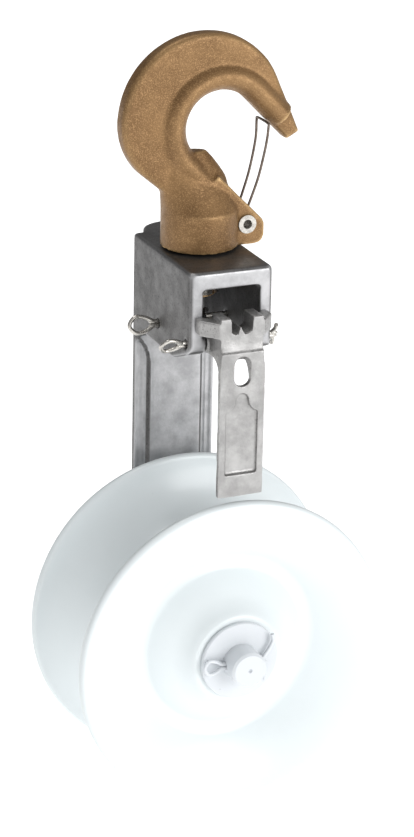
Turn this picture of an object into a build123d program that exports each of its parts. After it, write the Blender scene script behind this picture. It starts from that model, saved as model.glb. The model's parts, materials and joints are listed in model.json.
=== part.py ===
from build123d import *
import os
from math import cos, sin, radians, sqrt

os.makedirs("parts", exist_ok=True)

# Stringing block: a swivel hook over a one-legged cast frame that carries a white sheave on a
# cantilevered axle.  A hinged gate closes the front of the frame and swings inwards only.
# Millimetres.  The origin is the hook's seat on the swivel axis, +Z up, -Y towards the gate.

# ---- driving dimensions ------------------------------------------------------------------
HEAD_TOP_Z = -82.0        # top face of the head below the seat
AXLE_DROP = 214.0         # head top to sheave axle
GROOVE_SETBACK = 21.0     # sheave's mid-plane in front of the swivel axis

# hook
BOWL_OFFSET = 10.0        # centre of the bowl beside the swivel axis
BOWL_DROP = 17.0          # centre of the bowl below the seat
BACK_RADIUS = 47.2        # outside of the hook's back
BACK_CENTRE_X = 1.0
BACK_CENTRE_Z = -13.0
SHOULDER_R = 43.0         # tighter arc that follows it over the tip's side
SHOULDER_START = 75.0     # where that arc starts, degrees
FLANGE_T = 12.0           # thin outer flange of the T section
BEAD_T = 21.0             # thick inner bead of the T section
TIP_Z = -27.0             # lowest point of the tip
TIP_SLANT = 4.0           # the blunt end rises this much to the outside
BACK_END = 24.0           # the shoulder runs into the tip at this angle, degrees
FLANK_R = 36.0            # rounding from the back down to the shank
EDGE_R = 3.4              # rounded edges of the forging
CORNER_2D = 4.2
SHANK_R = 20.8
SHANK_GAP = 1.0           # shank's foot above the head
STEM_R = 9.5
BEAD_W = 15.0             # width of the bead
EAR_T = 21.4              # across the two ears
FAN_START = 15.0          # the fan leaves the throat this far down its wall
LATCH_PIVOT_X = 23.0
LATCH_PIVOT_RISE = 12.8   # latch pivot above the head's top
LATCH_SLOT = 14.6         # slot between the hook's ears
LATCH_PLAY = 0.8          # on each side of the wire in the slot
EAR_REACH = 10.5          # ears beyond the latch pivot
LATCH_RIVET_R = 4.0
LATCH_RIVET_BORE_R = 2.5
LATCH_WIRE_R = 1.0
LATCH_SPREAD = 2.3        # the wire's legs spread this much towards the tip

# head
HEAD_W = 47.4
HEAD_FRONT_Y = -45.2
HEAD_BACK_Y = 34.8
HEAD_TOP_T = 10.0
HEAD_SIDE_T = 7.7
SIDE_DEPTH = 53.0         # side walls, from the head's top
KNUCKLE_R = 6.0
HINGE_DROP = 40.0         # gate hinge below the head's top
KNUCKLE_GAP = 27.2        # between the two knuckles
ANCHOR_Y = -0.8           # cross pin that holds the spring
ANCHOR_DROP = 40.5
CORNER_R = 3.0

# leg
PAD_Y = 28.5              # front face of the leg's pad
PAD_W = 30.4
LAND_T = 4.3              # edge land on each side of the pad
FLUTE_DEPTH = 1.6         # flutes beside the land
FLARE_TOP = 57.0          # pad flares into the head between these depths
FLARE_BOTTOM = 76.0
FLARE_R = 24.0
RIB_W = 35.0
RIB_DEPTH = 15.2
BOSS_R = 25.0
BOSS_BACK_Y = 52.0

# sheave
SHEAVE_R = 89.0
SHEAVE_W = 80.6
GROOVE_BOTTOM_R = 54.0
GROOVE_ARC_R = 34.5
HUB_W = 87.0
HUB_R = 26.5
HUB_BORE_R = 16.0

# axle and bearings
AXLE_R = 10.0
AXLE_FRONT = 60.3         # axle's front end ahead of the sheave's mid-plane
AXLE_STUD_R = 9.0
BEARING_R = 21.0
BEARING_W = 12.0
BEARING_SPLIT_R = 14.3
BEARING_PROUD = 0.3
WASHER_R = 22.0
WASHER_T = 2.8
COTTER_HOLE_R = 2.3
REAR_WASHER_R = 17.5
REAR_WASHER_T = 2.5
AXLE_NUT_AF = 27.0
AXLE_NUT_T = 14.0

# swivel nut
SWIVEL_WASHER_R = 14.5
SWIVEL_WASHER_T = 2.5
SWIVEL_NUT_AF = 26.0
SWIVEL_NUT_T = 12.0
SWIVEL_CROWN_T = 5.0
SWIVEL_COTTER_R = 1.5

# gate
GATE_FRONT_Y = -62.0
BLADE_T = 3.6
BLADE_W = 26.0
RIM_GAP = 4.7             # gate's lower end above the sheave's rim
HUB_FRONT_Y = -60.0
GATE_HUB_W = 24.0
GATE_HUB_TOP = 21.5
GATE_HUB_BOTTOM = 51.0
POCKET_RISE = 12.6        # pocket's foot above the gate's lower end
BARREL_R = 5.6
BARREL_W = 26.6
WING_SPREAD = 20.5        # outer edge of each stop wing from the middle
WING_TOP = 23.7
WING_BOTTOM = 32.5
HINGE_PIN_R = 2.5
ANCHOR_PIN_R = 2.5

# gate spring
SPRING_WIRE_R = 1.3
SPRING_COIL_R = 4.2
SPRING_PITCH = 3.7
SPRING_TURNS = 5

# clearances
RUNNING = 0.06            # radial, shafts that turn
FIXED = 0.02              # radial, pins that stay put
FACE_GAP = 0.3            # between faces that move past each other

# ---- places worked out from them ---------------------------------------------------------
AXLE_Z = HEAD_TOP_Z - AXLE_DROP
SHEAVE_Y = -GROOVE_SETBACK
HINGE_Y = HEAD_FRONT_Y + KNUCKLE_R
HINGE_Z = HEAD_TOP_Z - HINGE_DROP
ANCHOR_Z = HEAD_TOP_Z - ANCHOR_DROP
BOWL_R = sqrt(BOWL_OFFSET ** 2 + BOWL_DROP ** 2)
BOWL = (BOWL_OFFSET, -BOWL_DROP)
FOOT_Z = HEAD_TOP_Z + SHANK_GAP
PIVOT_Z = HEAD_TOP_Z + LATCH_PIVOT_RISE
HEAD_X = HEAD_W / 2
SWIVEL_NUT_TOP = HEAD_TOP_Z - HEAD_TOP_T - SWIVEL_WASHER_T
SWIVEL_COTTER_Z = SWIVEL_NUT_TOP - SWIVEL_NUT_T + 2.5
STEM_END_Z = SWIVEL_NUT_TOP - SWIVEL_NUT_T - 2.0
INNER_X = HEAD_X - HEAD_SIDE_T
CEILING_Z = HEAD_TOP_Z - HEAD_TOP_T
AXIS_PLANE = Plane(origin=(0, SHEAVE_Y, AXLE_Z), x_dir=(1, 0, 0), z_dir=(0, -1, 0))
HALF_DIAG = sqrt(0.5)


def save(piece, name):
    """Label a finished sub-part and write its STEP file."""
    piece.part.label = name
    export_step(piece.part, f"parts/{name}.step")


def bowl_point(angle, extra=0.0):
    """A point on the bowl, or a distance outside it."""
    r = BOWL_R + extra
    return (BOWL[0] + r * cos(radians(angle)), BOWL[1] + r * sin(radians(angle)))


def along(point, distance):
    """A point further down one of the throat's two 45-degree walls."""
    return (point[0] + distance * HALF_DIAG, point[1] - distance * HALF_DIAG)


# ---- hook: T-section forging with a thick inner bead, ears and a threaded stem --------------
def arc_point(centre, radius, angle):
    """A point on a circle in the hook's plane."""
    return (centre[0] + radius * cos(radians(angle)), centre[1] + radius * sin(radians(angle)))


BACK = (BACK_CENTRE_X, BACK_CENTRE_Z)
SHOULDER = arc_point(BACK, BACK_RADIUS - SHOULDER_R, SHOULDER_START)
BACK_RUN = arc_point(SHOULDER, SHOULDER_R, BACK_END)
TIP_SLOPE = sin(radians(BACK_END)) / cos(radians(BACK_END))
TIP_OUT_Z = TIP_Z + TIP_SLANT
TIP_OUT = (BACK_RUN[0] + (BACK_RUN[1] - TIP_OUT_Z) * TIP_SLOPE, TIP_OUT_Z)
THROAT_TOP = bowl_point(45)
TIP_IN = along(THROAT_TOP, (THROAT_TOP[1] - TIP_Z) / HALF_DIAG)
THROAT_LOW = bowl_point(225)
EAR_X = LATCH_PIVOT_X + EAR_REACH
EAR_TOP = along(THROAT_LOW, (EAR_X - THROAT_LOW[0]) / HALF_DIAG)
FLANK = (BACK_CENTRE_X - BACK_RADIUS + FLANK_R, BACK_CENTRE_Z)
FLANK_END = arc_point(FLANK, FLANK_R, 230)
FLANK_FOOT = (-12.0, FLANK_END[1] - (-12.0 - FLANK_END[0]) * 0.84)

with BuildPart() as hook:
    # outer flange, with the ear plate below the throat
    with BuildSketch(Plane.XZ):
        with BuildLine():
            CenterArc(SHOULDER, SHOULDER_R, BACK_END, SHOULDER_START - BACK_END)
            CenterArc(BACK, BACK_RADIUS, SHOULDER_START, 180 - SHOULDER_START)
            CenterArc(FLANK, FLANK_R, 180, 50)
            Polyline(FLANK_END, FLANK_FOOT, (-12.0, FOOT_Z), (EAR_X, FOOT_Z), EAR_TOP, THROAT_LOW)
            CenterArc(BOWL, BOWL_R, 45, 180)
            Polyline(THROAT_TOP, TIP_IN, TIP_OUT, BACK_RUN)
        make_face()
        sharp = [v for v in vertices() if v.Z < TIP_OUT_Z + 0.1 and (v.X > EAR_X - 0.1 or v.X < -11)]
        fillet(sharp, CORNER_2D)
    extrude(amount=FLANGE_T / 2, both=True)
    fillet(hook.faces().filter_by(Axis.Y).edges(), EDGE_R)

    # inner bead: one oval section swept round the throat, from the tip down to the ears
    bead_in = BEAD_W / 2
    bead_start = along(bowl_point(45, bead_in), (THROAT_TOP[1] - TIP_Z) / HALF_DIAG - BEAD_W * 0.75)
    bead_end = along(bowl_point(225, -bead_in), 0)
    bead_low = bowl_point(225, bead_in)
    with BuildLine(Plane.XZ) as throat:
        Line(bead_start, bowl_point(45, bead_in))
        CenterArc(BOWL, BOWL_R + bead_in, 45, 180)
        Line(bead_low, along(bead_low, (EAR_X - THROAT_LOW[0]) / HALF_DIAG - BEAD_W * 1.2))
    with BuildSketch(Plane(origin=throat.line @ 0, x_dir=(0, 1, 0), z_dir=throat.line % 0)):
        Ellipse(BEAD_T / 2, BEAD_W / 2)
    sweep(path=throat.line)
    # fan that spreads the shank out to the ears
    with BuildSketch(Plane.XZ):
        with BuildLine():
            fan_top = along(THROAT_LOW, FAN_START)
            Polyline((-12, FOOT_Z), (EAR_X, FOOT_Z), EAR_TOP, fan_top, (-12, fan_top[1] - 14), close=True)
        make_face()
        fillet([v for v in vertices() if v.X > EAR_X - 0.1], CORNER_2D + 1)
    extrude(amount=EAR_T / 2, both=True)
    # round shank that flattens into the hook's back
    with BuildSketch(Plane.XY.offset(FOOT_Z)) as foot_section:
        Circle(SHANK_R)
    with BuildSketch(Plane.XY.offset(FOOT_Z + 20)) as shank_section:
        Circle(SHANK_R)
    with BuildSketch(Plane(origin=(-5, 0, FOOT_Z + 38))) as waist_section:
        Ellipse(SHANK_R - 2, 10)
    with BuildSketch(Plane(origin=(-12, 0, FOOT_Z + 52))) as neck_section:
        Ellipse(SHANK_R - 6, 5.5)
    loft([shank_section.sketch, waist_section.sketch, neck_section.sketch])
    loft([foot_section.sketch, shank_section.sketch])
    # stem through the head
    with Locations((0, 0, FOOT_Z)):
        Cylinder(STEM_R, FOOT_Z - STEM_END_Z, align=(Align.CENTER, Align.CENTER, Align.MAX))
    # slot between the ears, and the latch rivet's hole
    with Locations((LATCH_PIVOT_X + 4, 0, PIVOT_Z + 12)):
        Box(26, LATCH_SLOT, 40, align=(Align.CENTER, Align.CENTER, Align.CENTER), mode=Mode.SUBTRACT)
    with Locations(Location((LATCH_PIVOT_X, 0, PIVOT_Z), (90, 0, 0))):
        Cylinder(LATCH_RIVET_R + FIXED, 3 * EAR_T, mode=Mode.SUBTRACT)
    # cotter hole through the stem
    with Locations(Location((0, 0, SWIVEL_COTTER_Z), (0, 90, 0))):
        Cylinder(SWIVEL_COTTER_R + FIXED, 3 * STEM_R, mode=Mode.SUBTRACT)
save(hook, "hook")


# ---- swivel: thrust washer, castle nut and its cotter inside the head ----------------------
def ring(plane, outer, inner, thickness, name):
    """A flat ring lying on a plane and rising along its normal."""
    with BuildPart() as piece:
        with BuildSketch(plane):
            Circle(outer)
            Circle(inner, mode=Mode.SUBTRACT)
        extrude(amount=thickness)
        outside = piece.edges().filter_by(GeomType.CIRCLE).filter_by(lambda e: e.radius > outer - 0.01)
        chamfer(outside, min(0.5, thickness / 5))
    save(piece, name)


DOWN = Plane(origin=(0, 0, CEILING_Z), x_dir=(1, 0, 0), z_dir=(0, 0, -1))
ring(DOWN, SWIVEL_WASHER_R, STEM_R + FIXED, SWIVEL_WASHER_T, "swivel_washer")

with BuildPart() as swivel_nut:
    with BuildSketch(DOWN.offset(SWIVEL_WASHER_T)):
        RegularPolygon(SWIVEL_NUT_AF / 2, 6, major_radius=False, rotation=30)
        Circle(STEM_R + FIXED, mode=Mode.SUBTRACT)
    extrude(amount=SWIVEL_NUT_T - SWIVEL_CROWN_T)
    # round crown with six slots
    with BuildSketch(DOWN.offset(SWIVEL_WASHER_T + SWIVEL_NUT_T - SWIVEL_CROWN_T)):
        Circle(SWIVEL_NUT_AF / 2 - 2)
        Circle(STEM_R + FIXED, mode=Mode.SUBTRACT)
    extrude(amount=SWIVEL_CROWN_T)
    for turn in range(3):
        with Locations(Location((0, 0, SWIVEL_NUT_TOP - SWIVEL_NUT_T), (0, 0, 60 * turn))):
            Box(3 * STEM_R, 2 * SWIVEL_COTTER_R + 0.2, 2 * SWIVEL_CROWN_T - 1, mode=Mode.SUBTRACT)
save(swivel_nut, "swivel_nut")


def cotter(eye, direction, across, grip, radius, eye_r, leg, spread, name):
    """A split pin: two half-round legs, an open eye at one end and the legs bent out at the other.

    eye is the shoulder where the eye starts, direction runs along the pin, across is the way its
    legs bend, grip is the straight length, leg is the bent length and spread its angle.
    """
    wire_r = radius * 0.52
    side = Plane(origin=eye, x_dir=direction, z_dir=Vector(*direction).cross(Vector(*across)))
    with BuildPart() as pin:
        with BuildSketch(Plane(origin=eye, z_dir=direction)):
            Circle(radius)
        extrude(amount=grip)
        with BuildLine(side) as loop:
            neck = wire_r * 0.9
            ThreePointArc((0, neck), (-eye_r, eye_r * 0.92), (-2.1 * eye_r, 0))
            ThreePointArc((-2.1 * eye_r, 0), (-eye_r, -eye_r * 0.92), (0, -neck))
        with BuildSketch(Plane(origin=loop.line @ 0, z_dir=loop.line % 0)):
            Circle(wire_r)
        sweep(path=loop.line)
        for sign in (1, -1):
            bend = 1.5 * wire_r
            angle = radians(spread)
            with BuildLine(side) as prong:
                start = (grip - radius, sign * wire_r * 0.8)
                turn = (grip + bend, sign * wire_r * 0.8)
                finish = (turn[0] + leg * cos(angle), turn[1] + sign * leg * sin(angle))
                FilletPolyline(start, turn, finish, radius=bend)
            with BuildSketch(Plane(origin=prong.line @ 0, z_dir=prong.line % 0)):
                Circle(wire_r)
            sweep(path=prong.line)
    save(pin, name)


cotter(
    (-SWIVEL_NUT_AF / 2 + 1.4, 0, SWIVEL_COTTER_Z), (1, 0, 0), (0, 1, 0),
    SWIVEL_NUT_AF - 2.8, SWIVEL_COTTER_R, 0.8, 1.4, 70, "nut_cotter",
)

# ---- latch: tubular rivet through the ears and a sprung wire loop ---------------------------
RIVET_PLANE = Plane(origin=(LATCH_PIVOT_X, EAR_T / 2, PIVOT_Z), x_dir=(1, 0, 0), z_dir=(0, 1, 0))

with BuildPart() as latch_rivet:
    with BuildSketch(RIVET_PLANE.offset(-EAR_T - 1.0)):
        Circle(LATCH_RIVET_R)
        Circle(LATCH_RIVET_BORE_R, mode=Mode.SUBTRACT)
    extrude(amount=EAR_T + 2.0)
    for level in (0.05, -EAR_T - 1.05):
        with BuildSketch(RIVET_PLANE.offset(level)):
            Circle(LATCH_RIVET_R + 1.0)
            Circle(LATCH_RIVET_BORE_R, mode=Mode.SUBTRACT)
        extrude(amount=1.0)
save(latch_rivet, "latch_rivet")

LATCH_FOOT_Y = LATCH_SLOT / 2 - LATCH_WIRE_R - LATCH_PLAY
LATCH_TOP_Y = LATCH_FOOT_Y + LATCH_SPREAD
LATCH_TOP = along(THROAT_TOP, 17.6)
LATCH_REST = (LATCH_WIRE_R + FACE_GAP) * HALF_DIAG
LATCH_TOP = (LATCH_TOP[0] - LATCH_REST, LATCH_TOP[1] - LATCH_REST)
EYE_R = LATCH_RIVET_R + LATCH_WIRE_R + RUNNING

with BuildPart() as latch_wire:
    # eyes round the rivet
    for sign in (1, -1):
        with BuildSketch(Plane(origin=(LATCH_PIVOT_X, sign * LATCH_FOOT_Y, PIVOT_Z))):
            with Locations((EYE_R, 0)):
                Circle(LATCH_WIRE_R)
        revolve(axis=Axis((LATCH_PIVOT_X, 0, PIVOT_Z), (0, 1, 0)))
        with BuildLine() as leg:
            foot = Vector(LATCH_PIVOT_X + 0.3 * EYE_R, sign * LATCH_FOOT_Y, PIVOT_Z + 0.95 * EYE_R)
            knee = Vector(LATCH_TOP[0] - 4.0, sign * (LATCH_FOOT_Y + 0.5), (PIVOT_Z + LATCH_TOP[1]) / 2 + 2.5)
            corner = Vector(LATCH_TOP[0], sign * LATCH_TOP_Y, LATCH_TOP[1])
            middle = Vector(LATCH_TOP[0], 0, LATCH_TOP[1])
            FilletPolyline(foot, knee, corner, middle, radius=[60.0, 1.8])
        with BuildSketch(Plane(origin=leg.line @ 0, z_dir=leg.line % 0)):
            Circle(LATCH_WIRE_R)
        sweep(path=leg.line)
save(latch_wire, "latch_wire")

# ---- frame casting: square head, leg with fluted sides, rear rib and axle boss -------------
SIDE_BOTTOM_Z = HEAD_TOP_Z - SIDE_DEPTH
FLARE_TOP_Z = HEAD_TOP_Z - FLARE_TOP
FLARE_BOTTOM_Z = HEAD_TOP_Z - FLARE_BOTTOM
LEG_EDGE_Y = PAD_Y + LAND_T - 2.3
PAD_X = PAD_W / 2
RIB_X = RIB_W / 2



def side_x(share):
    """A place across the leg's fluted side, from the pad (0) to the outer edge (1)."""
    return PAD_X + share * (HEAD_X - PAD_X)


with BuildPart() as frame_casting:
    # head block from the side: flat top, knuckles at the front, bottom edge that rises to them
    with BuildSketch(Plane.YZ):
        with BuildLine():
            Polyline((HEAD_FRONT_Y, HINGE_Z), (HEAD_FRONT_Y, HEAD_TOP_Z), (HEAD_BACK_Y, HEAD_TOP_Z))
            Polyline(
                (HEAD_BACK_Y, HEAD_TOP_Z), (HEAD_BACK_Y, FLARE_TOP_Z), (PAD_Y, FLARE_TOP_Z),
                (PAD_Y - 10, SIDE_BOTTOM_Z), (HINGE_Y + 17, SIDE_BOTTOM_Z), (HINGE_Y, HINGE_Z - KNUCKLE_R),
            )
            CenterArc((HINGE_Y, HINGE_Z), KNUCKLE_R, 180, 90)
        make_face()
    extrude(amount=HEAD_X, both=True)
    with BuildSketch(Plane.XY.offset(HEAD_TOP_Z + 1)):
        with BuildLine():
            Polyline(
                (-HEAD_X, HEAD_FRONT_Y), (HEAD_X, HEAD_FRONT_Y), (HEAD_X, HEAD_BACK_Y),
                (-HEAD_X, HEAD_BACK_Y), close=True,
            )
        make_face()
        fillet([v for v in vertices() if v.Y < HEAD_FRONT_Y + 0.1], CORNER_R)
    extrude(amount=-SIDE_DEPTH - FLARE_TOP, mode=Mode.INTERSECT)
    fillet(frame_casting.faces().sort_by(Axis.Z)[-1].edges(), CORNER_R - 0.8)
    # leg: land, flutes and pad in section
    with BuildSketch(Plane.XY.offset(AXLE_Z)):
        for side in (1, -1):
            with BuildLine():
                flute_y = LEG_EDGE_Y + FLUTE_DEPTH
                Polyline(
                    (0, PAD_Y), (side * PAD_X, PAD_Y), (side * side_x(0.12), flute_y), (side * side_x(0.29), flute_y),
                    (side * side_x(0.36), LEG_EDGE_Y + 0.3), (side * side_x(0.49), LEG_EDGE_Y + 0.3),
                    (side * side_x(0.54), flute_y), (side * side_x(0.70), flute_y),
                    (side * side_x(0.75), LEG_EDGE_Y), (side * HEAD_X, LEG_EDGE_Y), (side * HEAD_X, HEAD_BACK_Y),
                    (0, HEAD_BACK_Y), close=True,
                )
            make_face()
    extrude(amount=FLARE_TOP_Z - AXLE_Z + 1)
    # pad flares out to the head's full width
    with BuildSketch(Plane.XZ.offset(-HEAD_BACK_Y)):
        with BuildLine():
            Line((-HEAD_X, FLARE_TOP_Z), (HEAD_X, FLARE_TOP_Z))
            RadiusArc((HEAD_X, FLARE_TOP_Z), (PAD_X, FLARE_BOTTOM_Z), -FLARE_R)
            Line((PAD_X, FLARE_BOTTOM_Z), (-PAD_X, FLARE_BOTTOM_Z))
            RadiusArc((-PAD_X, FLARE_BOTTOM_Z), (-HEAD_X, FLARE_TOP_Z), -FLARE_R)
        make_face()
    extrude(amount=HEAD_BACK_Y - PAD_Y)
    # half-round rib down the back, with a rounded top lobe
    with BuildSketch(Plane.XY.offset(AXLE_Z)):
        with BuildLine():
            Line((-RIB_X, HEAD_BACK_Y - 1), (RIB_X, HEAD_BACK_Y - 1))
            Line((RIB_X, HEAD_BACK_Y - 1), (RIB_X, HEAD_BACK_Y))
            ThreePointArc((RIB_X, HEAD_BACK_Y), (0, HEAD_BACK_Y + RIB_DEPTH), (-RIB_X, HEAD_BACK_Y))
            Line((-RIB_X, HEAD_BACK_Y), (-RIB_X, HEAD_BACK_Y - 1))
        make_face()
    extrude(amount=HEAD_TOP_Z - AXLE_Z)
    # axle boss and the leg's rounded foot
    with BuildSketch(Plane(origin=(0, BOSS_BACK_Y, AXLE_Z), x_dir=(1, 0, 0), z_dir=(0, -1, 0))):
        Circle(BOSS_R)
    extrude(amount=BOSS_BACK_Y - PAD_Y)
    # inside of the head, open to the front and below
    with BuildSketch(Plane.XZ.offset(-PAD_Y)):
        with Locations((0, CEILING_Z)):
            Rectangle(2 * INNER_X, SIDE_DEPTH, align=(Align.CENTER, Align.MAX))
    extrude(amount=PAD_Y - HEAD_FRONT_Y + 10, mode=Mode.SUBTRACT)
    # knuckles grow inwards round the hinge pin
    for side in (1, -1):
        with BuildSketch(Plane.YZ.offset(side * KNUCKLE_GAP / 2)):
            with Locations((HINGE_Y, HINGE_Z)):
                Circle(KNUCKLE_R)
        extrude(amount=side * (INNER_X - KNUCKLE_GAP / 2 + 0.5))
    # bores: swivel, hinge pin, anchor pin, axle
    with Locations((0, 0, CEILING_Z - 1)):
        Cylinder(STEM_R + RUNNING, HEAD_TOP_T + 2, align=(Align.CENTER, Align.CENTER, Align.MIN), mode=Mode.SUBTRACT)
    for y, z, r in ((HINGE_Y, HINGE_Z, HINGE_PIN_R), (ANCHOR_Y, ANCHOR_Z, ANCHOR_PIN_R)):
        with Locations(Location((0, y, z), (0, 90, 0))):
            Cylinder(r + FIXED, HEAD_W + 2, mode=Mode.SUBTRACT)
    with Locations(Location((0, BOSS_BACK_Y, AXLE_Z), (90, 0, 0))):
        Cylinder(AXLE_STUD_R + FIXED, 3 * (BOSS_BACK_Y - PAD_Y), mode=Mode.SUBTRACT)
save(frame_casting, "frame_casting")

# ---- cross pins: the gate's hinge cotter and the spring's anchor cotter ---------------------
cotter(
    (-HEAD_X - 0.4, HINGE_Y, HINGE_Z), (1, 0, 0), (0, -0.6, 0.8), HEAD_W + 0.8, HINGE_PIN_R, 4.6, 10.0, 40,
    "hinge_cotter",
)
cotter(
    (-HEAD_X - 0.4, ANCHOR_Y, ANCHOR_Z), (1, 0, 0), (0, 0.8, 0.6), HEAD_W + 0.8, ANCHOR_PIN_R, 5.2, 10.0, 40,
    "anchor_cotter",
)

# ---- sheave: deep half-round groove, dished flanges and a hub with bearing seats -----------
HALF_W = SHEAVE_W / 2
HALF_HUB = HUB_W / 2
GROOVE_CENTRE_R = GROOVE_BOTTOM_R + GROOVE_ARC_R
LIP_IN = SHEAVE_R - 1.2
SEAT_R = BEARING_R + FIXED
SEAT_Y = HALF_HUB + BEARING_PROUD - BEARING_W
SHEAVE_SECTION = Plane(origin=(0, SHEAVE_Y, AXLE_Z), x_dir=(1, 0, 0), z_dir=(0, 0, 1))

with BuildPart() as sheave:
    # section in the horizontal plane through the axle: across the radius, then along the axle
    with BuildSketch(SHEAVE_SECTION):
        with BuildLine():
            Line((0, 0), (GROOVE_BOTTOM_R, 0))
            lip_y = sqrt(GROOVE_ARC_R ** 2 - (LIP_IN - GROOVE_CENTRE_R) ** 2)
            groove_mid = (GROOVE_CENTRE_R - GROOVE_ARC_R * HALF_DIAG, -GROOVE_ARC_R * HALF_DIAG)
            ThreePointArc((GROOVE_BOTTOM_R, 0), groove_mid, (LIP_IN, -lip_y))
            ThreePointArc((LIP_IN, -lip_y), (SHEAVE_R, -lip_y - 3.0), (SHEAVE_R - 2.6, -HALF_W))
            ThreePointArc((SHEAVE_R - 2.6, -HALF_W), (69.5, -34.2), (51.5, -20.2))
            ThreePointArc((51.5, -20.2), (47.5, -18.4), (43.5, -19.6))
            ThreePointArc((43.5, -19.6), (38.0, -26.8), (31.5, -33.6))
            Polyline(
                (31.5, -33.6), (HUB_R + 1.6, -36.0), (HUB_R + 0.6, -HALF_HUB + 1.5), (HUB_R - 0.9, -HALF_HUB),
                (SEAT_R, -HALF_HUB), (SEAT_R, -SEAT_Y), (HUB_BORE_R, -SEAT_Y), (0, -SEAT_Y),
            )
            Line((0, -SEAT_Y), (0, 0))
        make_face()
        mirror(about=Plane.XZ)
        with Locations((0, 0)):
            Rectangle(2 * HUB_BORE_R, 2 * HUB_W, mode=Mode.SUBTRACT)
    revolve(axis=Axis((0, SHEAVE_Y, AXLE_Z), (0, 1, 0)))
save(sheave, "sheave")

# ---- bearings: sealed cartridges, outer rings in the hub and inner rings on the axle -------
END_PLANES = []
for side in (1, -1):
    END_PLANES.append(Plane(
        origin=(0, SHEAVE_Y + side * (HALF_HUB + BEARING_PROUD), AXLE_Z), x_dir=(1, 0, 0), z_dir=(0, -side, 0)))

with BuildPart() as bearing_outer_rings:
    for plane in END_PLANES:
        with BuildSketch(plane.offset(BEARING_PROUD + 0.2)):
            Circle(BEARING_R)
            Circle(BEARING_SPLIT_R + RUNNING, mode=Mode.SUBTRACT)
        extrude(amount=BEARING_W - BEARING_PROUD - 0.2)
save(bearing_outer_rings, "bearing_outer_rings")

with BuildPart() as bearing_inner_rings:
    for plane in END_PLANES:
        with BuildSketch(plane):
            Circle(BEARING_SPLIT_R)
            Circle(AXLE_R + FIXED, mode=Mode.SUBTRACT)
        extrude(amount=BEARING_W)
save(bearing_inner_rings, "bearing_inner_rings")

ring(END_PLANES[1].offset(BEARING_W), BEARING_SPLIT_R - 0.8, AXLE_R + FIXED, 2 * SEAT_Y, "bearing_spacer")

# ---- axle: collar against the leg, stud and nut behind it, washer and cotter in front ------
COLLAR_Y = END_PLANES[0].origin.Y
AXLE_FRONT_Y = SHEAVE_Y - AXLE_FRONT
FRONT_WASHER_Y = END_PLANES[1].origin.Y
AXLE_COTTER_Y = FRONT_WASHER_Y - WASHER_T - COTTER_HOLE_R - 0.3
STUD_END_Y = BOSS_BACK_Y + REAR_WASHER_T + AXLE_NUT_T + 3.0


def axle_plane(y, facing=-1):
    """A plane across the axle, facing the front (-1) or the back (1)."""
    return Plane(origin=(0, y, AXLE_Z), x_dir=(1, 0, 0), z_dir=(0, facing, 0))


with BuildPart() as axle:
    with BuildSketch(axle_plane(COLLAR_Y)):
        Circle(AXLE_R)
    extrude(amount=COLLAR_Y - AXLE_FRONT_Y)
    chamfer(axle.faces().sort_by(Axis.Y)[0].edges(), 1.2)
    with BuildSketch(axle_plane(COLLAR_Y, 1)):
        Circle(BEARING_SPLIT_R + 1.5)
    extrude(amount=PAD_Y - COLLAR_Y)
    with BuildSketch(axle_plane(PAD_Y, 1)):
        Circle(AXLE_STUD_R)
    extrude(amount=STUD_END_Y - PAD_Y)
    chamfer(axle.faces().sort_by(Axis.Y)[-1].edges(), 1.0)
    with Locations((0, AXLE_COTTER_Y, AXLE_Z)):
        with Locations(Location((0, 0, 0), (0, 90, 0))):
            Cylinder(COTTER_HOLE_R + FIXED, 3 * AXLE_R, mode=Mode.SUBTRACT)
    with Locations(Location((0, AXLE_FRONT_Y, AXLE_Z), (90, 0, 0))):
        Cone(0.5, 2.0, 2.6, align=(Align.CENTER, Align.CENTER, Align.CENTER), mode=Mode.SUBTRACT)
save(axle, "axle")

ring(axle_plane(FRONT_WASHER_Y), WASHER_R, AXLE_R + FIXED, WASHER_T, "axle_washer")
ring(axle_plane(BOSS_BACK_Y, 1), REAR_WASHER_R, AXLE_STUD_R + FIXED, REAR_WASHER_T, "rear_washer")
cotter(
    (-AXLE_R - 0.6, AXLE_COTTER_Y, AXLE_Z), (1, 0, 0), (0, 0, 1), 2 * AXLE_R + 1.2, COTTER_HOLE_R, 4.4, 8.0, 50,
    "axle_cotter",
)

with BuildPart() as axle_nut:
    with BuildSketch(axle_plane(BOSS_BACK_Y + REAR_WASHER_T, 1)):
        RegularPolygon(AXLE_NUT_AF / 2, 6, major_radius=False)
    extrude(amount=AXLE_NUT_T)
    with BuildSketch(axle_plane(BOSS_BACK_Y + REAR_WASHER_T, 1)):
        Circle(AXLE_NUT_AF / 2 * 1.12)
    extrude(amount=AXLE_NUT_T, taper=0, mode=Mode.INTERSECT)
    with BuildSketch(axle_plane(BOSS_BACK_Y + REAR_WASHER_T, 1)):
        Circle(AXLE_STUD_R + FIXED)
    extrude(amount=AXLE_NUT_T, mode=Mode.SUBTRACT)
save(axle_nut, "axle_nut")

# ---- gate: hub with stop wings, barrel round the hinge pin, long blade with a pocket -------
GATE_TOP_Z = HEAD_TOP_Z - GATE_HUB_TOP
HUB_BOTTOM_Z = HEAD_TOP_Z - GATE_HUB_BOTTOM
GATE_BOTTOM_Z = AXLE_Z + SHEAVE_R + RIM_GAP
HUB_X = GATE_HUB_W / 2
BLADE_X = BLADE_W / 2
BLADE_BACK_Y = GATE_FRONT_Y + BLADE_T
HUB_BACK_Y = HEAD_FRONT_Y - FACE_GAP - 1.0

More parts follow.
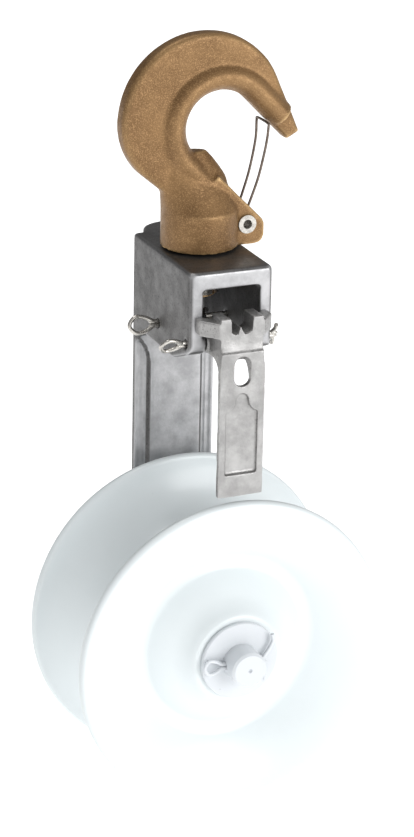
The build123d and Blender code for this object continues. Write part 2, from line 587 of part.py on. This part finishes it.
with BuildPart() as gate:
    # hub and web from the side, down to the blade
    with BuildSketch(Plane.YZ):
        with BuildLine():
            Polyline(
                (BLADE_BACK_Y, HUB_BOTTOM_Z - 6), (GATE_FRONT_Y, HUB_BOTTOM_Z - 6), (GATE_FRONT_Y, HINGE_Z - 4),
                (HUB_FRONT_Y, HINGE_Z + 4), (HUB_FRONT_Y, GATE_TOP_Z), (HUB_BACK_Y, GATE_TOP_Z),
                (HUB_BACK_Y, HINGE_Z + BARREL_R), (HINGE_Y, HINGE_Z + BARREL_R), (HINGE_Y, HINGE_Z - BARREL_R),
                (HUB_BACK_Y - 4, HINGE_Z - BARREL_R),
            )
            RadiusArc((HUB_BACK_Y - 4, HINGE_Z - BARREL_R), (BLADE_BACK_Y, HUB_BOTTOM_Z - 6), -14)
        make_face()
    extrude(amount=HUB_X, both=True)
    # blade
    with BuildSketch(Plane.XZ.offset(-GATE_FRONT_Y)):
        with BuildLine():
            Polyline(
                (-HUB_X, HINGE_Z), (HUB_X, HINGE_Z), (BLADE_X, HUB_BOTTOM_Z), (BLADE_X, GATE_BOTTOM_Z),
                (-BLADE_X, GATE_BOTTOM_Z), (-BLADE_X, HUB_BOTTOM_Z), close=True,
            )
        make_face()
    extrude(amount=-BLADE_T)
    # barrel round the hinge pin
    with BuildSketch(Plane.YZ.offset(-BARREL_W / 2)):
        with Locations((HINGE_Y, HINGE_Z)):
            Circle(BARREL_R)
    extrude(amount=BARREL_W)
    # stop wings angled back to the head's front
    for side in (1, -1):
        with BuildSketch(Plane.XY.offset(HEAD_TOP_Z - WING_BOTTOM)):
            with BuildLine():
                Polyline(
                    (side * (HUB_X - 2), HUB_FRONT_Y), (side * (HUB_X + 1), HUB_FRONT_Y),
                    (side * WING_SPREAD, HEAD_FRONT_Y - 6), (side * WING_SPREAD, HEAD_FRONT_Y - FACE_GAP),
                    (side * (WING_SPREAD - 4.5), HEAD_FRONT_Y - FACE_GAP), (side * (HUB_X - 2), HUB_FRONT_Y + 9),
                    close=True,
                )
            make_face()
        extrude(amount=WING_BOTTOM - WING_TOP)
    # notch in the top, with a spike left standing in it
    with BuildSketch(Plane.XZ.offset(-HUB_FRONT_Y + 5)):
        with BuildLine():
            Polyline(
                (-6.2, GATE_TOP_Z + 1), (6.2, GATE_TOP_Z + 1), (5.6, GATE_TOP_Z - 7.5), (2.0, GATE_TOP_Z - 9.5),
                (-1.0, GATE_TOP_Z - 4.2), (-2.6, GATE_TOP_Z - 9.5), (-5.4, GATE_TOP_Z - 8.0), close=True,
            )
        make_face()
    extrude(amount=-40, mode=Mode.SUBTRACT)
    # oval slot
    with BuildSketch(Plane.XZ.offset(-GATE_FRONT_Y + 5)):
        with Locations((0, HEAD_TOP_Z - 50.6)):
            SlotOverall(16.1, 9.0, rotation=90)
    extrude(amount=-8.6 - 5, mode=Mode.SUBTRACT)
    # recessed pocket with a narrow rounded head
    with BuildSketch(Plane.XZ.offset(-GATE_FRONT_Y + 5)):
        with BuildLine():
            pocket_top = HEAD_TOP_Z - 62.8
            ThreePointArc((-3.6, pocket_top - 4), (0, pocket_top), (3.6, pocket_top - 4))
            ThreePointArc((3.6, pocket_top - 4), (5.6, pocket_top - 8.4), (9.0, pocket_top - 10.4))
            Polyline(
                (9.0, pocket_top - 10.4), (9.0, GATE_BOTTOM_Z + POCKET_RISE), (-9.0, GATE_BOTTOM_Z + POCKET_RISE),
                (-9.0, pocket_top - 10.4),
            )
            ThreePointArc((-9.0, pocket_top - 10.4), (-5.6, pocket_top - 8.4), (-3.6, pocket_top - 4))
        make_face()
    extrude(amount=-5 - 1.9, mode=Mode.SUBTRACT)
    # hinge bore
    with Locations(Location((0, HINGE_Y, HINGE_Z), (0, 90, 0))):
        Cylinder(HINGE_PIN_R + RUNNING, BARREL_W + 2, mode=Mode.SUBTRACT)
save(gate, "gate")

# ---- gate spring: torsion coil on the anchor pin, its arm reaching forward to the gate ------
with BuildPart() as gate_spring:
    coil_length = SPRING_PITCH * SPRING_TURNS
    coil_x = -INNER_X + 1.2 + SPRING_WIRE_R
    with BuildLine() as coil:
        Helix(SPRING_PITCH, coil_length, SPRING_COIL_R, center=(coil_x, ANCHOR_Y, ANCHOR_Z), direction=(1, 0, 0))
    with BuildSketch(Plane(origin=coil.line @ 0, z_dir=coil.line % 0)):
        Circle(SPRING_WIRE_R)
    sweep(path=coil.line)
save(gate_spring, "gate_spring")
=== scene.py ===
"""Looks of the stringing block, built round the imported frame.  Metres, +Z up, -Y towards the gate."""
import json
from math import cos, pi, radians, sin, sqrt

import bmesh
import bpy
from mathutils import Matrix, Vector, noise

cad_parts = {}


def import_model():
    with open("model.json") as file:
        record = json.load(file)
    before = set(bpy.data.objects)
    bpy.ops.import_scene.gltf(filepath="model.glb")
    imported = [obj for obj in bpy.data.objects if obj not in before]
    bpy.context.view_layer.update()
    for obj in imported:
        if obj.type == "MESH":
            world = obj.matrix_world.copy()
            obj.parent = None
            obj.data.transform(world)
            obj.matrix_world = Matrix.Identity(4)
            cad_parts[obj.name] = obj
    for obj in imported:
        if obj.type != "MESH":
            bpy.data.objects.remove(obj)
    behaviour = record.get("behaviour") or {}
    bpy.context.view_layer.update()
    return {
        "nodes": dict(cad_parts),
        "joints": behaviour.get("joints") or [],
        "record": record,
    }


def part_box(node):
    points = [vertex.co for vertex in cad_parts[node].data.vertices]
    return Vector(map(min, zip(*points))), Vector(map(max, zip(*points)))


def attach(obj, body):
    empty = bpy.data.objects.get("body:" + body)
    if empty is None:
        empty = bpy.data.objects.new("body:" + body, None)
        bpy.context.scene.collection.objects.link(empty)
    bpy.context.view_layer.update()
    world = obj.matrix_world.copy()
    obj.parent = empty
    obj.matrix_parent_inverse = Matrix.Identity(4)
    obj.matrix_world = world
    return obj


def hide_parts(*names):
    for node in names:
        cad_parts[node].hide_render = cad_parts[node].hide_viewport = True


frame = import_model()
nodes = frame["nodes"]

MM = 0.001


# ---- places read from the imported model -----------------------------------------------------
def joint_point(name):
    """Where a joint's axis passes, in the row frame."""
    for joint in frame["joints"]:
        if joint["name"] == name:
            return Vector(joint["pos_m"])
    raise KeyError(name)


AXLE = joint_point("sheave_spin")
HINGE = joint_point("gate_swing")
PIVOT = joint_point("latch_swing")


# ---- materials -----------------------------------------------------------------------------
class Graph:
    """A short way to build a node material."""

    def __init__(self, name):
        self.material = bpy.data.materials.new(name)
        self.material.use_nodes = True
        self.tree = self.material.node_tree
        self.shader = self.tree.nodes["Principled BSDF"]
        self.coords = self.node("ShaderNodeTexCoord").outputs["Object"]

    def node(self, kind, **settings):
        node = self.tree.nodes.new(kind)
        for key, value in settings.items():
            setattr(node, key, value)
        return node

    def link(self, source, target):
        self.tree.links.new(source, target)

    def noise(self, scale, detail=4.0, rough=0.55, stretch=None):
        """Noise of so many lumps a metre; stretch scales the coordinates first."""
        source = self.coords
        if stretch:
            mapping = self.node("ShaderNodeMapping")
            mapping.inputs["Scale"].default_value = stretch
            self.link(self.coords, mapping.inputs["Vector"])
            source = mapping.outputs["Vector"]
        node = self.node("ShaderNodeTexNoise")
        node.inputs["Scale"].default_value = scale
        node.inputs["Detail"].default_value = detail
        node.inputs["Roughness"].default_value = rough
        self.link(source, node.inputs["Vector"])
        return node.outputs["Fac"]

    def ramp(self, value, stops):
        """A ramp of (position, grey or colour) stops."""
        node = self.node("ShaderNodeValToRGB")
        node.color_ramp.interpolation = "EASE"
        while len(node.color_ramp.elements) < len(stops):
            node.color_ramp.elements.new(0.5)
        for element, (place, colour) in zip(node.color_ramp.elements, stops):
            element.position = place
            rgb = (colour,) * 3 if isinstance(colour, (int, float)) else tuple(colour)
            element.color = (*rgb, 1)
        self.link(value, node.inputs["Fac"])
        return node.outputs["Color"]

    def mix(self, factor, first, second, mode="MIX"):
        node = self.node("ShaderNodeMix", data_type="RGBA", blend_type=mode)
        for socket, value in ((node.inputs[0], factor), (node.inputs[6], first), (node.inputs[7], second)):
            if hasattr(value, "links"):
                self.link(value, socket)
            elif isinstance(value, (int, float)):
                socket.default_value = value
            else:
                socket.default_value = (*value, 1)
        return node.outputs[2]

    def bump(self, *layers):
        """Stacked bumps: (height, distance in metres, strength)."""
        normal = None
        for height, distance, strength in layers:
            node = self.node("ShaderNodeBump")
            node.inputs["Distance"].default_value = distance
            node.inputs["Strength"].default_value = strength
            self.link(height, node.inputs["Height"])
            if normal:
                self.link(normal, node.inputs["Normal"])
            normal = node.outputs["Normal"]
        self.link(normal, self.shader.inputs["Normal"])

    def facing(self, axis, low, high):
        """1 where the surface faces along an axis of the part, 0 elsewhere."""
        geometry = self.node("ShaderNodeNewGeometry")
        dot = self.node("ShaderNodeVectorMath", operation="DOT_PRODUCT")
        dot.inputs[1].default_value = axis
        self.link(geometry.outputs["Normal"], dot.inputs[0])
        return self.ramp(dot.outputs["Value"], [(low, 0), (high, 1)])

    def worn(self, low=0.505, high=0.56):
        """1 along convex edges."""
        geometry = self.node("ShaderNodeNewGeometry")
        return self.ramp(geometry.outputs["Pointiness"], [(low, 0), (high, 1)])

    def set(self, colour=None, rough=None, metallic=None, **constants):
        for key, value in (("Base Color", colour), ("Roughness", rough)):
            if value is not None and hasattr(value, "links"):
                self.link(value, self.shader.inputs[key])
            elif value is not None:
                self.shader.inputs[key].default_value = value if key == "Roughness" else (*value, 1)
        if metallic is not None:
            self.shader.inputs["Metallic"].default_value = metallic
        for key, value in constants.items():
            self.shader.inputs[key.replace("_", " ")].default_value = value
        return self.material


def hook_bronze():
    """Bronze-gold paint over a rough forging, rubbed brighter on the ridges."""
    g = Graph("hook_bronze")
    blotches = g.ramp(g.noise(38, 5), [(0.3, (0.150, 0.078, 0.028)), (0.7, (0.235, 0.132, 0.052))])
    flakes = g.ramp(g.noise(1500, 2, 0.7), [(0.45, 0.0), (0.72, 1.0)])
    colour = g.mix(flakes, blotches, (0.36, 0.215, 0.095))
    colour = g.mix(g.worn(), colour, (0.60, 0.40, 0.19))
    rough = g.ramp(g.noise(260, 3), [(0.3, 0.40), (0.7, 0.56)])
    g.bump((g.noise(85, 3), 0.0006, 0.35), (g.noise(620, 3, 0.65), 0.00022, 0.55), (g.noise(1900, 2), 0.00008, 0.5))
    return g.set(colour, rough, 0.55)


def cast_aluminium(name, dark, light, front, strength=1.0):
    """Sand-cast aluminium; faces towards the gate are painted brighter, as painted light from the front, and the other
    faces darker, as painted shade.
    """
    g = Graph(name)
    body = g.ramp(g.noise(30, 6, 0.6), [(0.3, dark), (0.72, light)])
    pits = g.ramp(g.noise(900, 3, 0.7), [(0.33, 0.55), (0.5, 1.0)])
    body = g.mix(1.0, body, pits, "MULTIPLY")
    # painted light: the lighter colour given to the faces turned towards the front
    painted_front_light = g.ramp(g.noise(75, 6, 0.65), [(0.3, [c * 0.66 for c in front]), (0.7, front)])
    # faces looking along -Y take the painted light; all other faces keep the darker body colour as painted shade
    colour = g.mix(g.facing((0, -1, 0), 0.8, 0.97), body, painted_front_light)
    colour = g.mix(g.worn(0.51, 0.58), colour, [min(1, c * 1.15) for c in front])
    rough = g.ramp(g.noise(140, 4), [(0.3, 0.36), (0.7, 0.52)])
    g.bump((g.noise(70, 4), 0.0007, 0.22 * strength), (g.noise(700, 4, 0.65), 0.00018, 0.5 * strength))
    return g.set(colour, rough, 0.75)


def white_coat(name, tint=(0.735, 0.785, 0.80), dirt=0.0):
    """Thick glossy white coat with a faint orange peel."""
    g = Graph(name)
    colour = g.ramp(g.noise(9, 5), [(0.3, [c * 0.965 for c in tint]), (0.7, tint)])
    specks = g.ramp(g.noise(420, 4, 0.7), [(0.66, 0.0), (0.78, 1.0)])
    colour = g.mix(g.mix(1.0, specks, (0.12 + dirt,) * 3, "MULTIPLY"), colour, (0.33, 0.33, 0.32))
    rough = g.ramp(g.noise(60, 4), [(0.3, 0.30), (0.7, 0.38)])
    g.bump((g.noise(55, 3), 0.0005, 0.10), (g.noise(320, 3), 0.00006, 0.35))
    return g.set(colour, rough, 0.0, Coat_Weight=0.18, Coat_Roughness=0.12)


def steel(name, dark, light, rough_low, rough_high, metallic=0.9):
    """Plated or oiled steel with drawing marks."""
    g = Graph(name)
    colour = g.ramp(g.noise(420, 4, 0.6), [(0.3, dark), (0.7, light)])
    rough = g.ramp(g.noise(300, 3), [(0.3, rough_low), (0.7, rough_high)])
    g.bump((g.noise(1400, 3), 0.00006, 0.5))
    return g.set(colour, rough, metallic)


MATERIALS = {
    "hook_bronze": hook_bronze(),
    # in both castings the dark body colours are painted shade on the side faces, and the lighter front colours are
    # painted light on the faces towards -Y
    "cast_aluminium": cast_aluminium("cast_aluminium", (0.085, 0.083, 0.082), (0.15, 0.148, 0.147), (0.50, 0.50, 0.51)),
    "gate_aluminium": cast_aluminium(
        "gate_aluminium", (0.24, 0.235, 0.23), (0.42, 0.415, 0.41), (0.44, 0.435, 0.43), 2.4),
    "sheave_white": white_coat("sheave_white"),
    "white_steel": white_coat("white_steel", (0.66, 0.69, 0.72), 0.35),
    "zinc_steel": steel("zinc_steel", (0.42, 0.40, 0.37), (0.62, 0.60, 0.56), 0.22, 0.38),
    "spring_wire": steel("spring_wire", (0.10, 0.075, 0.06), (0.20, 0.16, 0.13), 0.3, 0.45, 0.7),
    "spring_steel": steel("spring_steel", (0.03, 0.03, 0.03), (0.09, 0.085, 0.08), 0.35, 0.5, 0.6),
    "bearing_steel": steel("bearing_steel", (0.5, 0.5, 0.5), (0.62, 0.62, 0.62), 0.15, 0.28),
}
SLOTS = {entry["node"]: entry["material_slot"] for entry in frame["record"]["subparts"]}


def dress(piece, slot):
    """Give a piece the material of one of the record's slots."""
    piece.data.materials.clear()
    piece.data.materials.append(MATERIALS[slot])


# ---- CAD nodes that stay as they are, with their finish -------------------------------------
for node_name, piece in nodes.items():
    dress(piece, SLOTS[node_name])


# ---- sculpted pieces made from the CAD solids ----------------------------------------------
def link(name, mesh):
    piece = bpy.data.objects.new(name, mesh)
    bpy.context.scene.collection.objects.link(piece)
    return piece


def bake(piece):
    """Replace a piece's mesh by what its modifiers make of it."""
    graph = bpy.context.evaluated_depsgraph_get()
    mesh = bpy.data.meshes.new_from_object(piece.evaluated_get(graph))
    old = piece.data
    piece.modifiers.clear()
    piece.data = mesh
    bpy.data.meshes.remove(old)


def recast(name, node, voxel, smooth, lumps, depth, reshape=None):
    """A copy of a CAD solid with its edges rounded as a casting or forging has them, and a faintly
    uneven skin: lumps to the metre, depth in metres."""
    mesh = nodes[node].data.copy()
    shape = bmesh.new()
    shape.from_mesh(mesh)
    bmesh.ops.remove_doubles(shape, verts=shape.verts, dist=2e-6)
    shape.to_mesh(mesh)
    shape.free()
    piece = link(name, mesh)
    if reshape:
        reshape(piece)
    remesh = piece.modifiers.new("remesh", "REMESH")
    remesh.mode = "VOXEL"
    remesh.voxel_size = voxel
    softer = piece.modifiers.new("smooth", "SMOOTH")
    softer.factor = 0.5
    softer.iterations = smooth
    bake(piece)
    for vertex in piece.data.vertices:
        lump = noise.noise(vertex.co * lumps) + 0.5 * noise.noise(vertex.co * lumps * 2.3)
        vertex.co += vertex.normal * (lump * depth - depth)
    for polygon in piece.data.polygons:
        polygon.use_smooth = True
    dress(piece, SLOTS[node])
    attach(piece, piece_body(node))
    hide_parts(node)
    return piece


def block(name, corners, low, high):
    """A prism from corners in the XZ plane, in millimetres, between two distances along Y."""
    mesh = bpy.data.meshes.new(name)
    count = len(corners)
    verts = [(x * MM, y * MM, z * MM) for y in (low, high) for x, z in corners]
    faces = [tuple(range(count)), tuple(range(2 * count - 1, count - 1, -1))]
    faces += [(i, i + count, (i + 1) % count + count, (i + 1) % count) for i in range(count)]
    mesh.from_pydata(verts, [], faces)
    shape = bmesh.new()
    shape.from_mesh(mesh)
    bmesh.ops.recalc_face_normals(shape, faces=shape.faces)
    shape.to_mesh(mesh)
    shape.free()
    return link(name, mesh)


def combine(piece, tool, operation):
    """Join or cut a piece with a tool mesh and drop the tool."""
    cut = piece.modifiers.new("combine", "BOOLEAN")
    cut.operation = operation
    cut.solver = "EXACT"
    cut.object = tool
    bake(piece)
    bpy.data.objects.remove(tool)


def far_ear(piece):
    """The ear away from the gate stands lower than the near one, so it hides behind it."""
    x, z = PIVOT.x / MM, PIVOT.z / MM
    corners = [(x - 26, z + 22), (x + 3, z + 9), (x + 14, z + 1), (x + 14, z + 60), (x - 6, z + 60)]
    combine(piece, block("far_ear_cut", corners, 6.6, 30), "DIFFERENCE")


def hub_step(piece):
    """The sprue's pip at the foot of the pocket."""
    low, high = (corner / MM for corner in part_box("gate"))
    x, foot, front = (low.x + high.x) / 2, low.z, low.y
    combine(piece, block("pip", [(x - 1.2, foot + 4.2), (x + 1.6, foot + 3.9), (x + 0.3, foot + 6.1)],
                         front - 0.2, front + 2.0), "UNION")


def piece_body(node):
    """The body that a CAD node belongs to."""
    for body, members in frame["record"]["behaviour"]["bodies"].items():
        if node in members:
            return body
    raise KeyError(node)


recast("hook_forging", "hook", 0.9 * MM, 6, 60, 0.12 * MM, far_ear)
recast("gate_casting", "gate", 0.6 * MM, 4, 160, 0.16 * MM, hub_step)
recast("head_and_leg_casting", "frame_casting", 1.1 * MM, 2, 45, 0.10 * MM)


# ---- sheave: turned from one profile --------------------------------------------------------
def arc(first, middle, last, steps):
    """Points on the arc through three points, without the last one."""
    (ax, ay), (bx, by), (cx, cy) = first, middle, last
    d = 2 * (ax * (by - cy) + bx * (cy - ay) + cx * (ay - by))
    ux = ((ax ** 2 + ay ** 2) * (by - cy) + (bx ** 2 + by ** 2) * (cy - ay) + (cx ** 2 + cy ** 2) * (ay - by)) / d
    uy = ((ax ** 2 + ay ** 2) * (cx - bx) + (bx ** 2 + by ** 2) * (ax - cx) + (cx ** 2 + cy ** 2) * (bx - ax)) / d
    centre = Vector((ux, uy))
    start, end, via = (Vector(p) - centre for p in (first, last, middle))
    sweep = start.angle_signed(end)
    if sweep * start.angle_signed(via) < 0 or abs(start.angle_signed(via)) > abs(sweep):
        sweep -= 2 * pi if sweep > 0 else -2 * pi
    points = []
    for step in range(steps):
        turned = start.copy()
        turned.rotate(Matrix.Rotation(-sweep * step / steps, 2))
        points.append(tuple(centre + turned))
    return points


def sheave_profile():
    """(radius, distance along the axle) in millimetres, round the front half from the groove to the seat."""
    rim = 88.95
    points = arc((54.0, 0.0), (64.1, -24.4), (87.8, -34.5), 36)
    points += arc((87.8, -34.5), (rim, -37.6), (86.4, -40.25), 8)
    points += arc((86.4, -40.25), (70.5, -35.2), (54.5, -25.6), 24)
    points += arc((54.5, -25.6), (49.5, -23.6), (45.0, -25.0), 12)
    points += arc((45.0, -25.0), (39.5, -30.3), (34.0, -34.6), 12)
    points += arc((34.0, -34.6), (29.2, -38.9), (26.0, -42.6), 10)
    points += [(25.3, -43.1), (24.7, -43.5), (21.05, -43.5), (21.05, -31.8), (16.0, -31.8)]
    return points


def lathe(name, profile, body, segments=200):
    """A solid of revolution round the axle from a half profile and its mirror image."""
    front = [(r * MM, y * MM) for r, y in profile]
    loop = front + [(r, -y) for r, y in reversed(front) if y]
    mesh = bpy.data.meshes.new(name)
    verts, faces = [], []
    for k in range(segments):
        turn = 2 * pi * k / segments
        verts += [(AXLE.x + r * cos(turn), AXLE.y + y, AXLE.z + r * sin(turn)) for r, y in loop]
    count = len(loop)
    for k in range(segments):
        for i in range(count):
            a, b = k * count + i, k * count + (i + 1) % count
            c, d = (k + 1) % segments * count + (i + 1) % count, (k + 1) % segments * count + i
            faces.append((a, b, c, d))
    mesh.from_pydata(verts, [], faces)
    for polygon in mesh.polygons:
        polygon.use_smooth = True
    shape = bmesh.new()
    shape.from_mesh(mesh)
    bmesh.ops.recalc_face_normals(shape, faces=shape.faces)
    shape.to_mesh(mesh)
    shape.free()
    mesh.set_sharp_from_angle(angle=radians(50))
    piece = link(name, mesh)
    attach(piece, body)
    return piece


wheel = lathe("sheave_wheel", sheave_profile(), "sheave")
dress(wheel, "sheave_white")
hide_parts("sheave")


# ---- wire pieces: split pins and latch ------------------------------------------------------
def smooth_path(points, steps=8):
    """A smooth run through points given in millimetres."""
    points = [Vector(p) for p in points]
    ends = [2 * points[0] - points[1], *points, 2 * points[-1] - points[-2]]
    path = []
    for a, b, c, d in zip(ends, ends[1:], ends[2:], ends[3:]):
        for step in range(steps):
            t = step / steps
            path.append(0.5 * (2 * b + (c - a) * t + (2 * a - 5 * b + 4 * c - d) * t ** 2
                               + (3 * b - a - 3 * c + d) * t ** 3))
    return path + [points[-1]]


def wire(name, path, radius, slot, body, *replaced, sides=5):
    """A round wire along a path in millimetres, turned into a mesh."""
    curve = bpy.data.curves.new(name, "CURVE")
    curve.dimensions = "3D"
    spline = curve.splines.new("POLY")
    spline.points.add(len(path) - 1)
    for point, place in zip(spline.points, path):
        point.co = (*(place * MM), 1)
    curve.bevel_depth = radius * MM
    curve.bevel_resolution = sides
    curve.use_fill_caps = True
    source = link(name + "_path", curve)
    mesh = bpy.data.meshes.new_from_object(source.evaluated_get(bpy.context.evaluated_depsgraph_get()))
    bpy.data.objects.remove(source)
    mesh.name = name
    piece = link(name, mesh)
    for polygon in mesh.polygons:
        polygon.use_smooth = True
    dress(piece, slot)
    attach(piece, body)
    if replaced:
        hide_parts(*replaced)
    return piece


def split_pin(name, node, eye_at, across, grip, half, eye, legs, slot):
    """A split pin along +X.  eye_at is its shoulder, across the direction its halves lie apart, half their
    offset, eye the length and half-height of its drop-shaped eye, legs the two bent ends as
    (along, across, forward) offsets from the far end."""
    across = Vector(across).normalized()
    forward = Vector((0, -1, 0))
    start = Vector(eye_at)
    end = start + Vector((grip, 0, 0))
    length, height = eye

    def at(x, y):
        return start + Vector((-x, 0, 0)) + across * y

    loop = [at(-1, half), at(0.10 * length, 1.2 * half), at(0.42 * length, 0.82 * height),
            at(0.78 * length, 0.92 * height), at(length, 0.0)]
    loop += [at(0.78 * length, -0.92 * height), at(0.42 * length, -0.82 * height),
             at(0.10 * length, -1.2 * half), at(-1, -half)]
    upper = [end + Vector((x, 0, 0)) + across * y + forward * z for x, y, z in reversed(legs[0])]
    lower = [end + Vector((x, 0, 0)) + across * y + forward * z for x, y, z in legs[1]]
    path = smooth_path(upper + [end + across * half] + loop + [end - across * half] + lower)
    return wire(name, path, half * 0.98, slot, "frame", node)


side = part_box("frame_casting")[0].x / MM
hinge = HINGE / MM
axle = AXLE / MM
pivot = PIVOT / MM
anchor_low, anchor_high = (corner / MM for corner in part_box("gate_spring"))
anchor = (anchor_low + anchor_high) / 2
head_side = 23.7
split_pin(
    "hinge_split_pin", "hinge_cotter", (-head_side - 0.8, hinge.y, hinge.z), (0, -0.55, 0.83), 2 * head_side + 1.4, 1.15,
    (12.5, 4.3), ([(1.2, 1.6, 0), (2.6, 4.6, 0), (2.0, 8.2, 0.6)], [(1.6, -1.8, 0), (3.2, -4.4, 0.4), (3.4, -7.6, 0.8)]),
    "zinc_steel",
)
split_pin(
    "anchor_split_pin", "anchor_cotter", (-head_side - 0.8, anchor.y, anchor.z), (0, 0.25, 0.97), 2 * head_side + 1.4,
    1.15, (15.0, 4.6), ([(1.2, 1.6, 0), (2.6, 4.6, 0), (2.0, 8.2, 0)], [(1.6, -1.8, 0), (3.2, -4.4, 0), (3.4, -7.6, 0)]),
    "zinc_steel",
)
pin_low, pin_high = (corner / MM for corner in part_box("axle_cotter"))
split_pin(
    "axle_split_pin", "axle_cotter", (-11.2, (pin_low.y + pin_high.y) / 2, axle.z), (0, 0, 1), 22.6, 1.05,
    (10.5, 4.0), ([(1.6, 2.4, 0), (4.6, 6.5, 0.2), (6.4, 11.0, 0.4), (5.6, 14.6, 0.8)],
                  [(1.4, -2.2, 0), (2.2, -6.0, 0.1), (2.0, -12.0, 0.3)]),
    "white_steel",
)


def latch():
    """A springy wire loop: both legs bow out from the rivet and meet under the hook's tip."""
    low, high = (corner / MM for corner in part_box("latch_wire"))
    top, reach = high.z - 1.0, high.x - 1.0
    foot, spread = 5.5, 7.7
    half = [
        Vector((pivot.x - 4.0, foot, pivot.z - 2.6)), Vector((pivot.x + 1.0, foot, pivot.z - 4.8)),
        Vector((pivot.x + 4.8, foot, pivot.z)), Vector((pivot.x + 1.6, foot, pivot.z + 4.8)),
        Vector((pivot.x + 3.4, foot + 0.1, pivot.z + 10)), Vector((pivot.x + 8.0, foot + 0.7, pivot.z + 24)),
        Vector((reach - 0.9, spread - 0.9, top - 12)), Vector((reach - 0.1, spread, top - 2.0)),
        Vector((reach, spread - 1.2, top)),
    ]
    other = [Vector((p.x, -p.y, p.z)) for p in reversed(half)]
    wire("latch_loop", smooth_path(half + other), 0.72, "spring_wire", "latch", "latch_wire")


latch()


# ---- stage: floor, light and camera ----------------------------------------------------------
def area_light(name, place, aim, size, power, colour=(1, 1, 1)):
    light = bpy.data.lights.new(name, "AREA")
    light.shape = "DISK"
    light.size = size
    light.energy = power
    light.color = colour
    lamp = bpy.data.objects.new(name, light)
    bpy.context.scene.collection.objects.link(lamp)
    lamp.location = place
    lamp.rotation_euler = (Vector(aim) - Vector(place)).to_track_quat("-Z", "Y").to_euler()


def floor():
    mesh = bpy.data.meshes.new("floor")
    half, level = 30.0, -1.6
    corners = [(-half, -half, level), (half, -half, level), (half, half, level), (-half, half, level)]
    mesh.from_pydata(corners, [], [(0, 1, 2, 3)])
    piece = link("floor", mesh)
    g = Graph("floor_paper")
    paper = g.set(g.ramp(g.noise(2, 2), [(0.3, 0.90), (0.7, 0.93)]), 0.9, 0.0)
    g.shader.inputs["Emission Color"].default_value = (1, 1, 1, 1)
    g.shader.inputs["Emission Strength"].default_value = 0.95
    piece.data.materials.append(paper)


def world():
    """White to the eye; the light comes mostly from the front and below, less from the upper left."""
    scene_world = bpy.data.worlds.new("studio")
    bpy.context.scene.world = scene_world
    scene_world.use_nodes = True
    tree = scene_world.node_tree
    background = tree.nodes["Background"]
    coords = tree.nodes.new("ShaderNodeTexCoord")
    dot = tree.nodes.new("ShaderNodeVectorMath")
    dot.operation = "DOT_PRODUCT"
    dot.inputs[1].default_value = Vector((0.45, -0.80, 0.10)).normalized()
    tree.links.new(coords.outputs["Generated"], dot.inputs[0])
    ramp = tree.nodes.new("ShaderNodeMapRange")
    ramp.inputs["From Min"].default_value = -0.9
    ramp.inputs["From Max"].default_value = 0.8
    ramp.inputs["To Min"].default_value = 0.14
    ramp.inputs["To Max"].default_value = 0.62
    tree.links.new(dot.outputs["Value"], ramp.inputs["Value"])
    path = tree.nodes.new("ShaderNodeLightPath")
    mix = tree.nodes.new("ShaderNodeMix")
    tree.links.new(path.outputs["Is Camera Ray"], mix.inputs[0])
    tree.links.new(ramp.outputs["Result"], mix.inputs[2])
    mix.inputs[3].default_value = 1.0
    tree.links.new(mix.outputs[0], background.inputs["Strength"])
    background.inputs["Color"].default_value = (1, 1, 1, 1)


def camera():
    """Long lens from the front left, a little above, rolled by about a degree."""
    place = Vector((-0.5737, -1.3384, 0.3695))
    aim = Vector((-0.0022, -0.0210, -0.1727))
    roll = radians(1.2)
    forward = (aim - place).normalized()
    right = forward.cross(Vector((0, 0, 1))).normalized()
    up = right.cross(forward)
    right, up = cos(roll) * right + sin(roll) * up, cos(roll) * up - sin(roll) * right
    data = bpy.data.cameras.new("camera")
    data.sensor_width = 36
    data.lens = 122.94
    lens = bpy.data.objects.new("camera", data)
    bpy.context.scene.collection.objects.link(lens)
    lens.matrix_world = Matrix.Translation(place) @ Matrix((right, up, -forward)).transposed().to_4x4()
    bpy.context.scene.camera = lens


floor()
world()
camera()
area_light("key", (1.1, -2.2, 0.5), (0, 0, -0.2), 1.8, 34)
area_light("fill", (-1.6, -1.6, 0.1), (0, 0, -0.25), 1.6, 4)
area_light("rim", (-0.3, 0.4, 1.7), (0, 0, -0.1), 0.7, 9)
bpy.context.scene.view_settings.view_transform = "Standard"
